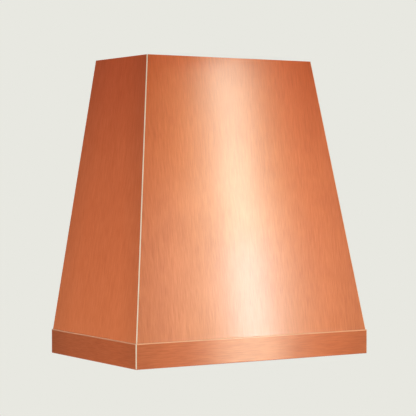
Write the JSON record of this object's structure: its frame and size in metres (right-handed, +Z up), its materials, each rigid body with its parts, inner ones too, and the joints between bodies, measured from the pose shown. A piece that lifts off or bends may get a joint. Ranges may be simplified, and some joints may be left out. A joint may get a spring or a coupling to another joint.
{
  "type": "range hood",
  "caption": "Pyramid range hood of brushed copper with an apron band, hung from a ceiling: hinged baffle filters, lamps and knobs below, blower and damped duct collar inside.",
  "frame": {"origin": "middle of the ceiling plane, in the middle of the four ceiling bolts, straight above the duct collar", "axes": "+X to the right seen from the front, +Y to the back, +Z up; the hood hangs below the origin and its front faces -Y"},
  "size_m": [0.9144, 0.592, 1.008],
  "materials": {
    "copper_body": "copper sheet, brushed along the slope, lacquered",
    "copper_band": "copper sheet, brushed along the band, lacquered",
    "copper_seam": "soldered seam, ground round and polished",
    "frame_steel": "primed mild steel angle",
    "stainless": "brushed",
    "filter_steel": "satin",
    "polished_steel": "polished",
    "lamp_glass": "frosted",
    "black_plastic": "moulded",
    "knob_finish": "turned",
    "galvanised": "galvanised sheet",
    "motor_paint": "black enamel",
    "capacitor_can": "drawn can"
  },
  "bodies": {
    "hood": {"apron_back": "copper_band", "apron_front": "copper_band", "apron_left": "copper_band", "apron_right": "copper_band", "apron_seams": "copper_seam", "back_panel": "copper_body", "base_frame": "frame_steel", "blower_back": "galvanised", "blower_front": "galvanised", "blower_left": "galvanised", "blower_lid": "galvanised", "blower_right": "galvanised", "cable_gland": "black_plastic", "capacitor": "capacitor_can", "ceiling_frame": "frame_steel", "corner_posts": "frame_steel", "corner_seams": "copper_seam", "damper_pin": "polished_steel", "duct_collar": "galvanised", "fan_switch": "black_plastic", "filter_clips": "stainless", "filter_lugs": "stainless", "front_panel": "copper_body", "junction_box": "galvanised", "junction_cover": "galvanised", "lamp_bezels": "polished_steel", "lamp_driver": "black_plastic", "lamp_housings": "capacitor_can", "lamp_lenses": "lamp_glass", "left_panel": "copper_body", "light_dimmer": "black_plastic", "liner_pan": "stainless", "liner_screws": "polished_steel", "motor_body": "motor_paint", "motor_bracket": "galvanised", "right_panel": "copper_body", "scroll_side_left": "galvanised", "scroll_side_right": "galvanised", "scroll_wrap": "galvanised"},
    "fan_wheel": {"impeller": "galvanised", "impeller_rings": "galvanised", "impeller_blades": "galvanised", "motor_shaft": "polished_steel"},
    "damper_flap_front": {"damper_front": "galvanised"},
    "damper_flap_back": {"damper_back": "galvanised"},
    "filter_left": {"filter_left_frame": "filter_steel", "filter_left_baffles": "filter_steel", "filter_left_handle": "polished_steel"},
    "filter_centre": {"filter_centre_frame": "filter_steel", "filter_centre_baffles": "filter_steel", "filter_centre_handle": "polished_steel"},
    "filter_right": {"filter_right_frame": "filter_steel", "filter_right_baffles": "filter_steel", "filter_right_handle": "polished_steel"},
    "fan_control": {"fan_knob": "knob_finish", "fan_knob_shaft": "polished_steel"},
    "light_control": {"light_knob": "knob_finish", "light_knob_shaft": "polished_steel"}
  },
  "joints": [
    {"name": "fan_spin", "type": "hinge", "parent": "hood", "child": "fan_wheel", "pos_m": [0, -0.065, -0.807], "axis": [1, 0, 0], "continuous": true},
    {"name": "damper_front_swing", "type": "hinge", "parent": "hood", "child": "damper_flap_front", "pos_m": [0, 0, -0.605], "axis": [-1, 0, 0], "range_deg": [0, 75]},
    {"name": "damper_back_swing", "type": "hinge", "parent": "hood", "child": "damper_flap_back", "pos_m": [0, 0, -0.605], "axis": [1, 0, 0], "range_deg": [0, 75]},
    {"name": "filter_left_drop", "type": "hinge", "parent": "hood", "child": "filter_left", "pos_m": [-0.254, 0.1439, -0.9672], "axis": [1, 0, 0], "range_deg": [0, 75]},
    {"name": "filter_centre_drop", "type": "hinge", "parent": "hood", "child": "filter_centre", "pos_m": [0, 0.1439, -0.9672], "axis": [1, 0, 0], "range_deg": [0, 75]},
    {"name": "filter_right_drop", "type": "hinge", "parent": "hood", "child": "filter_right", "pos_m": [0.254, 0.1439, -0.9672], "axis": [1, 0, 0], "range_deg": [0, 75]},
    {"name": "fan_knob_turn", "type": "hinge", "parent": "hood", "child": "fan_control", "pos_m": [-0.044, -0.2652, -0.9782], "axis": [0, 0, 1], "range_deg": [0, 135]},
    {"name": "light_knob_turn", "type": "hinge", "parent": "hood", "child": "light_control", "pos_m": [0.044, -0.2652, -0.9782], "axis": [0, 0, 1], "range_deg": [0, 270]}
  ]
}
